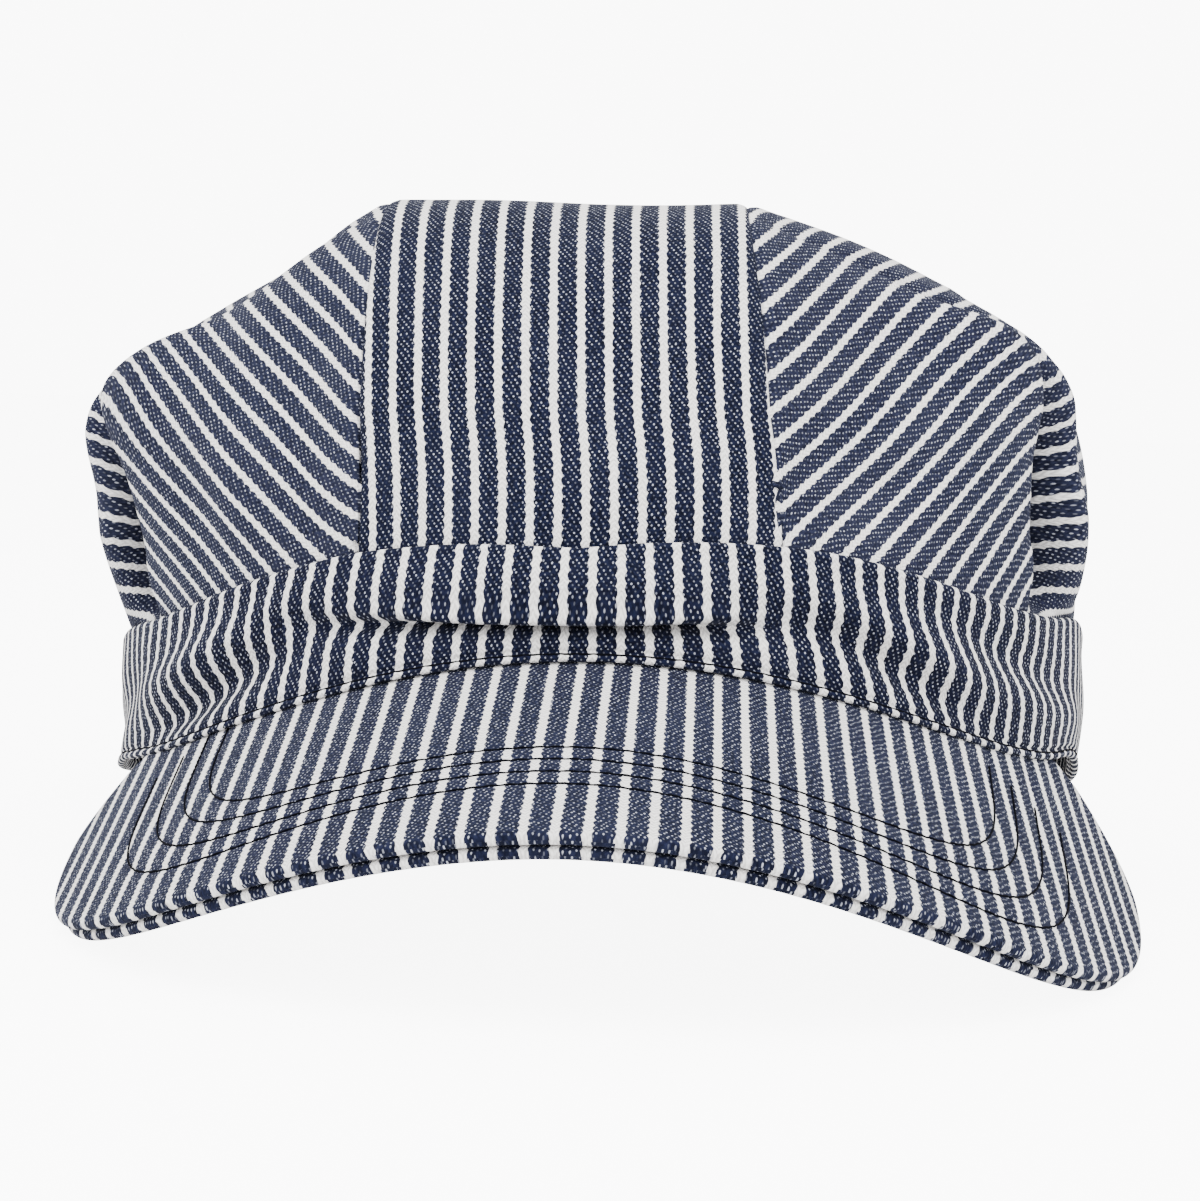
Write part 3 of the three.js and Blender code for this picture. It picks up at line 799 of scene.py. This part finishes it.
def camera_axes():
    """The camera's own back, right and up."""
    a, e, r = (math.radians(x) for x in (CAMERA_AZIMUTH, CAMERA_ELEVATION, CAMERA_ROLL))
    back = Vector((math.sin(a) * math.cos(e), -math.cos(a) * math.cos(e), math.sin(e)))
    right = (-back).cross(Vector((0, 0, 1))).normalized()
    up = right.cross(-back)
    return back, right * math.cos(r) + up * math.sin(r), up * math.cos(r) - right * math.sin(r)


def seen_stripes(grid, side):
    """The cut across the stripes where the camera sees a side panel, and how much that counts."""
    back, right, up = (np.array(v) for v in camera_axes())
    from_camera = grid - np.array(CAMERA_TARGET) - back * CAMERA_DISTANCE
    scale = SEEN_SCALE / -(from_camera @ back)
    x, y = side * (from_camera @ right) * scale, SEEN_LEVEL - (from_camera @ up) * scale

    def fitted(x):
        return sum(factor * x**i * y**j for i, j, factor in STRIPES_SEEN[side])

    # Beyond the part that the picture shows, the stripes go on straight
    near = np.clip(x, *SEEN_REACH)
    cut = fitted(near) + (x - near) * (fitted(near) - fitted(near - SEEN_STEP)) / SEEN_STEP
    facing = normals_of(grid) @ back
    reach = SEEN_BACK_TO + SEEN_FURTHER * np.clip((grid[..., 2] - SEEN_ABOVE) / SEEN_GROWS, 0, 1)
    return cut, np.clip((facing - FACING_FROM) / FACING_GROWS, 0, 1) * (grid[..., 1] < reach)


def stripe_cut(grid, side, cut_row, deep):
    """Cut of a side panel in mm, across and along its stripes: as the picture shows them at the
    front, level at the side, along the middle seam on top and down to the seam at the back."""
    n = normals_of(grid)
    seen, share = seen_stripes(grid, side)
    row = np.arange(len(grid))[:, None]
    share = share * np.where((row < cut_row) if side < 0 else (row > cut_row), 1, 0)
    top = np.maximum(n[..., 2:], 0)
    level = np.concatenate([-side * top, 0 * top, 1 + 0 * top], -1)
    behind = np.array([-side * REAR_OUT, 0, REAR_UP])
    rear = np.clip((n[..., 1:2] - REAR_FROM) / REAR_GROWS, 0, 1) * (grid[..., 1:2] > 0)
    across = rear * behind + (1 - rear) * level
    across = across - np.sum(across * n, -1, keepdims=True) * n
    across /= -side * np.maximum(np.linalg.norm(across, axis=-1, keepdims=True), 1e-6)
    wanted = steps_along(grid, across)
    wanted = [step + np.minimum(share[a], share[b]) * (seen[b] - seen[a] - step)
              for (a, b), step in zip(SIDES, wanted)]
    cut = np.zeros(grid.shape[:2], bool)
    cut[cut_row] = deep > 0.5
    u = follow(grid, wanted, cut)
    u += np.sum((seen - u) * share) / np.sum(share)

    # Along the stripes: at right angles to the slope of u on the surface
    du, dv = np.gradient(u)
    pu, pv = np.gradient(grid, axis=0), np.gradient(grid, axis=1)
    e, f, g = np.sum(pu * pu, -1), np.sum(pu * pv, -1), np.sum(pv * pv, -1)
    det = np.maximum(e * g - f * f, 1e-9)
    slope = ((g * du - f * dv) / det)[..., None] * pu + ((e * dv - f * du) / det)[..., None] * pv
    slope /= np.maximum(np.linalg.norm(slope, axis=-1, keepdims=True), 1e-6)
    v = follow(grid, steps_along(grid, np.cross(slope, n)), cut)
    return u, v


def pleated(grid, side, down):
    """The panel with its pleat folded in, and how deep the pleat is on each line."""
    deep = np.interp(down, PLEAT_DOWN, PLEAT_DEEP)
    run = lengths(grid, 0)
    past = run - run[[int(np.searchsorted(ROW_PLACES, PLEAT_PLACE))]]
    fold = hump(past, *PLEAT_FOLD) - mound(past, *PLEAT_LIP) - mound(past, *PLEAT_CREST[side])
    back = mound(past, *PLEAT_HOLLOW) - hump(past, *PLEAT_BULGE)
    trim = mound(past, *PLEAT_TRIM[side]) * np.interp(down, TRIM_DOWN, TRIM_DEEP)
    out = grid - np.array(FOLD_CENTRE)
    inward = -out / np.linalg.norm(out, axis=-1, keepdims=True)
    shift = inward * (fold * deep + trim)[..., None] + (back * deep)[..., None] * np.array([0, 1.0, 0])
    return grid + shift, deep


def build_side(side):
    name = "right" if side > 0 else "left"
    down = edged(*SIDE_LINES)
    grid, deep = pleated(side_surface(side, ROW_PLACES, 4 * down), side, down)
    grid = np.concatenate([grid, grid[:, -1:] + TUCK], axis=1)
    deep = np.concatenate([deep, np.full(len(TUCK), deep[-1])])
    cut_row = int(np.searchsorted(ROW_PLACES, PLEAT_HIDDEN))
    if side > 0:
        grid = grid[::-1]
        cut_row = len(ROW_PLACES) - 1 - cut_row
    u, v = stripe_cut(grid, side, cut_row, deep)
    over, down = lengths(grid, 1), lengths(grid, 0)
    far = np.minimum(np.minimum(over, down), down[-1:] - down)
    grid = sewn_in(grid, over, down, far, over[:, -1:] - over, SIDE_RIPPLE[side])
    return sew_sheet(f"crown_{name}_cloth", grid, PANEL_WALL, np.stack([u, v], -1), side_cloth_with_painted_light,
                     f"crown_{name}_panel")


middle_panel = build_middle()
right_panel = build_side(1)
left_panel = build_side(-1)


# Peak

# Rows of top stitching: how far ahead of the head band's middle they run, and their half width
STITCH_ROWS = [(121.5, 62.0), (125.4, 65.7), (129.3, 69.7), (133.2, 74.0)]
STITCH_CENTRE = 4.5
STITCH_BACK = 75.0
STITCH_POWER = 2.8
STITCH_TAIL = 9
STITCH_LENGTH = 2.6
STITCH_NEAR = 50
STITCH_GROOVE = (0.22, 0, 0.55)
COVER_SWELL = 0.12
PEAK_ROWS = 301
PEAK_LINES = (84, 56)

# The peak's stripes: where one lies, and how they fan out to the right from a line behind the front
PEAK_STRIPE_AT = 1.16
PEAK_FAN = 0.0011
PEAK_FAN_FROM = 120


def peak_outline(across):
    """The peak's outer edge in plan, from corner to corner as across runs from -1 to 1."""
    side = np.where(across < 0, -1, 1)
    half = PEAK_HALF_WIDTH + side * PEAK_SKEW
    back = np.clip((np.abs(across) - PEAK_SIDES) / (1 - PEAK_SIDES), 0, 1)
    end_x, end_y = band_plan(np.where(side > 0, PEAK_RIGHT_ANGLE, PEAK_LEFT_ANGLE))
    turn = np.clip(np.abs(across) / PEAK_SIDES, 0, 1) * (math.pi / 2)
    power = 2 / PEAK_CORNER
    x_front = side * half * np.sin(turn) ** power
    y_front = PEAK_WIDEST_Y - PEAK_REACH * np.abs(np.cos(turn)) ** power
    past = np.abs(across) > PEAK_SIDES
    x = np.where(past, side * half + (end_x - side * half) * back**2, x_front)
    y = np.where(past, PEAK_WIDEST_Y + (end_y - PEAK_WIDEST_Y) * back, y_front)
    return x, y


def stitch_distance(x, y):
    """Distance from the nearest row of top stitching in plan, which holds close to the rows."""
    nearest = np.full(np.shape(x), 99.0)
    for front, half in STITCH_ROWS:
        a = np.abs(x - STITCH_CENTRE) / half
        b = np.maximum(0, -(y + STITCH_BACK)) / (front - STITCH_BACK)
        reach = (a**STITCH_POWER + b**STITCH_POWER) ** (1 / STITCH_POWER)
        nearest = np.minimum(nearest, np.abs(reach - 1) * STITCH_NEAR)
    return nearest


def peak_cover(name, node, depth, wall):
    """One of the peak's covers, at its depth under the peak's upper face."""
    across = np.linspace(-PEAK_END, PEAK_END, PEAK_ROWS)[:, None]
    forward = edged(*PEAK_LINES, PEAK_EDGE_LINES)[None, :]
    angle = PEAK_LEFT_ANGLE + (across + 1) / 2 * (PEAK_RIGHT_ANGLE - PEAK_LEFT_ANGLE)
    back_x, back_y = band_plan(angle, PEAK_UNDER_BAND)
    front_x, front_y = peak_outline(across)
    x = back_x + (front_x - back_x) * forward
    y = back_y + (front_y - back_y) * forward
    slope = -2 * PEAK_DROP * (x - ARCH_CENTRE) / ARCH_SPAN**2
    n = np.stack([-slope, 0 * slope - PEAK_SLOPE, 0 * slope + 1], -1)
    n /= np.linalg.norm(n, axis=-1, keepdims=True)
    face = np.stack([x, y, peak_face(x, y)], -1)
    sink = depth + 0 * x
    if depth == 0:
        sink = sink + mound(stitch_distance(x, y), *STITCH_GROOVE) - COVER_SWELL
    grid = face - n * sink[..., None]
    table = np.linspace(-110, 110, 441)
    rise = np.diff(peak_face(table, 0 * table))
    run = np.concatenate([[0], np.cumsum(np.hypot(np.diff(table), rise))])
    run -= np.interp(PEAK_STRIPE_AT, table, run)
    u = np.interp(x + PEAK_FAN * np.maximum(x, 0) * (y + PEAK_FAN_FROM), table, run)
    v = -y * math.hypot(1, PEAK_SLOPE)
    return sew_sheet(name, grid[::-1], wall, np.stack([u, v], -1)[::-1], peak_cloth_with_painted_sheen, node)


top_cover = peak_cover("peak_top_cloth", "peak_top_cover", 0.0, TOP_COVER)
under_cover = peak_cover("peak_under_cloth", "peak_under_cover", TOP_COVER + SEAM_GAP, UNDER_COVER)


# Thread

# Radius of the threads and the steps they are drawn in, how high up the hem is sewn, how long a stitch
# is, and how far the thread bobs up from how deep it lies, in mm
PEAK_THREAD = 0.16
HEM_THREAD = 0.17
THREAD_STEP = 0.35
THREAD_END = 0.3
HEM_STITCH_UP = 1.5
HEM_STITCH_LENGTH = 2.7
HEM_BOB = 0.24
HEM_SUNK = 0.12
PEAK_BOB = 0.14
PEAK_SUNK = 0.05
ROW_OFFSET = 0.37


def tube(name, paths, radius, material, sides=6):
    """Thread laid along paths of points, in millimetres."""
    vertices, faces = [], []
    ring = np.arange(sides)
    for path in paths:
        ahead = np.gradient(path, axis=0)
        ahead /= np.linalg.norm(ahead, axis=-1, keepdims=True)
        across = np.cross(ahead, [0, 0, 1.0])
        across /= np.linalg.norm(across, axis=-1, keepdims=True)
        over = np.cross(across, ahead)
        turn = math.tau * ring / sides
        thick = np.full(len(path), radius)
        thick[0] = thick[-1] = THREAD_END * radius
        loop = (path[:, None] + thick[:, None, None] * (across[:, None] * np.cos(turn)[None, :, None]
                                                        + over[:, None] * np.sin(turn)[None, :, None]))
        start = sum(len(v) for v in vertices)
        vertices.append(loop.reshape(-1, 3))
        i, j = np.meshgrid(np.arange(len(path) - 1), ring, indexing="ij")
        a, b = start + i * sides, start + (i + 1) * sides
        k = (j + 1) % sides
        faces += np.stack([a + j, a + k, b + k, b + j], -1).reshape(-1, 4).tolist()
        faces.append((start + ring[::-1]).tolist())
        faces.append((start + (len(path) - 1) * sides + ring).tolist())
    return new_piece(name, np.concatenate(vertices), faces, material)


def even_steps(line):
    """The same line in short even steps, and how far along it each of them is."""
    run = lengths(line[:, None], 0)[:, 0]
    even = np.arange(0, run[-1], THREAD_STEP)
    return np.stack([np.interp(even, run, line[:, c]) for c in range(3)], -1), even


def stitch_paths():
    """The rows of top stitching on the peak."""
    paths = []
    for k, (front, half) in enumerate(STITCH_ROWS):
        t = np.linspace(-1, 1, 900)
        turn = t * math.pi / 2
        power = 2 / STITCH_POWER
        x = STITCH_CENTRE + np.sign(t) * half * np.abs(np.sin(turn)) ** power
        y = -STITCH_BACK - (front - STITCH_BACK) * np.abs(np.cos(turn)) ** power
        tail = np.linspace(0, 1, 40)[1:]
        tail_y = -STITCH_BACK + tail * STITCH_TAIL
        x = np.concatenate([(x[0] + 0 * tail)[::-1], x, x[-1] + 0 * tail])
        y = np.concatenate([tail_y[::-1], y, tail_y])
        line, run = even_steps(np.stack([x, y, peak_face(x, y)], -1))
        bob = np.abs(np.sin(math.pi * (run / STITCH_LENGTH + ROW_OFFSET * k)))
        line[:, 2] += PEAK_BOB * bob - PEAK_SUNK
        paths.append(line)
    return paths


def hem_path():
    """The stitching along the hem, all the way round the band."""
    turn = np.linspace(-180, 180, 3601)[:, None]
    up = HEM_STITCH_UP / (band_top(turn) - rim(turn))
    line, run = even_steps(band_shape(turn, up)[0][:, 0])
    out = line * (1, 1, 0) / np.linalg.norm(line[:, :2], axis=-1, keepdims=True)
    bob = np.abs(np.sin(math.pi * run / HEM_STITCH_LENGTH))
    return line + out * (HEM_BOB * bob - HEM_SUNK)[:, None]


hem_stitching = tube("hem_stitching", [hem_path()], HEM_THREAD, black_thread)
peak_stitching = tube("peak_stitching", stitch_paths(), PEAK_THREAD, black_thread)


# Studio

WHITE_TO_CAMERA = 8.0
SKY_STRENGTH = 1.75
LIGHTS_AIM = (0, 0, 0.05)


def white_stage():
    """Pale floor that looks white to the camera and keeps a soft shadow."""
    material = bpy.data.materials.new("pale floor")
    material.use_nodes = True
    t = Nodes(material)
    shader = t.add("ShaderNodeBsdfPrincipled")
    t.link((0.85, 0.85, 0.85, 1), shader.inputs["Base Color"])
    t.link(0.85, shader.inputs["Roughness"])
    t.link((1, 1, 1, 1), shader.inputs["Emission Color"])
    seen = t.add("ShaderNodeLightPath").outputs["Is Camera Ray"]
    t.link(t.math("MULTIPLY", seen, WHITE_TO_CAMERA), shader.inputs["Emission Strength"])
    t.link(shader.outputs[0], t.add("ShaderNodeOutputMaterial").inputs["Surface"])
    return material


def studio():
    bpy.ops.object.select_all(action="DESELECT")
    bpy.ops.mesh.primitive_plane_add(size=6)
    floor = bpy.context.object
    floor.name = "floor"
    floor.data.materials.append(white_stage())

    world = bpy.data.worlds.new("studio")
    bpy.context.scene.world = world
    world.use_nodes = True
    t = Nodes(world)
    seen = t.add("ShaderNodeLightPath").outputs["Is Camera Ray"]
    sky = t.add("ShaderNodeBackground")
    t.link((1, 1, 1, 1), sky.inputs["Color"])
    white = t.math("MULTIPLY", seen, WHITE_TO_CAMERA)
    t.link(t.math("ADD", white, SKY_STRENGTH), sky.inputs["Strength"])
    t.link(sky.outputs[0], t.add("ShaderNodeOutputWorld").inputs["Surface"])

    def panel(name, place, size, power):
        light = bpy.data.lights.new(name, "AREA")
        light.shape = "RECTANGLE"
        light.size, light.size_y = size
        light.energy = power
        lamp = bpy.data.objects.new(name, light)
        bpy.context.scene.collection.objects.link(lamp)
        lamp.location = place
        lamp.rotation_euler = (Vector(LIGHTS_AIM) - Vector(place)).to_track_quat("-Z", "Y").to_euler()

    panel("overhead light", (-0.1, -0.5, 1.1), (0.9, 0.7), 15.5)
    panel("left light", (-1.0, -0.7, 0.6), (0.6, 0.8), 9)
    panel("right light", (1.0, -0.7, 0.6), (0.6, 0.8), 9)


def camera():
    back, right, up = camera_axes()
    data = bpy.data.cameras.new("camera")
    data.sensor_fit = "HORIZONTAL"
    data.sensor_width = CAMERA_SENSOR
    data.lens = CAMERA_LENS
    data.clip_start = 0.01
    camera_object = bpy.data.objects.new("camera", data)
    bpy.context.scene.collection.objects.link(camera_object)
    target = Vector(lay_in_place(CAMERA_TARGET))
    turn = Matrix((right, up, back)).transposed().to_4x4()
    camera_object.matrix_world = Matrix.Translation(target + back * CAMERA_DISTANCE * MM) @ turn
    bpy.context.scene.camera = camera_object


studio()
camera()
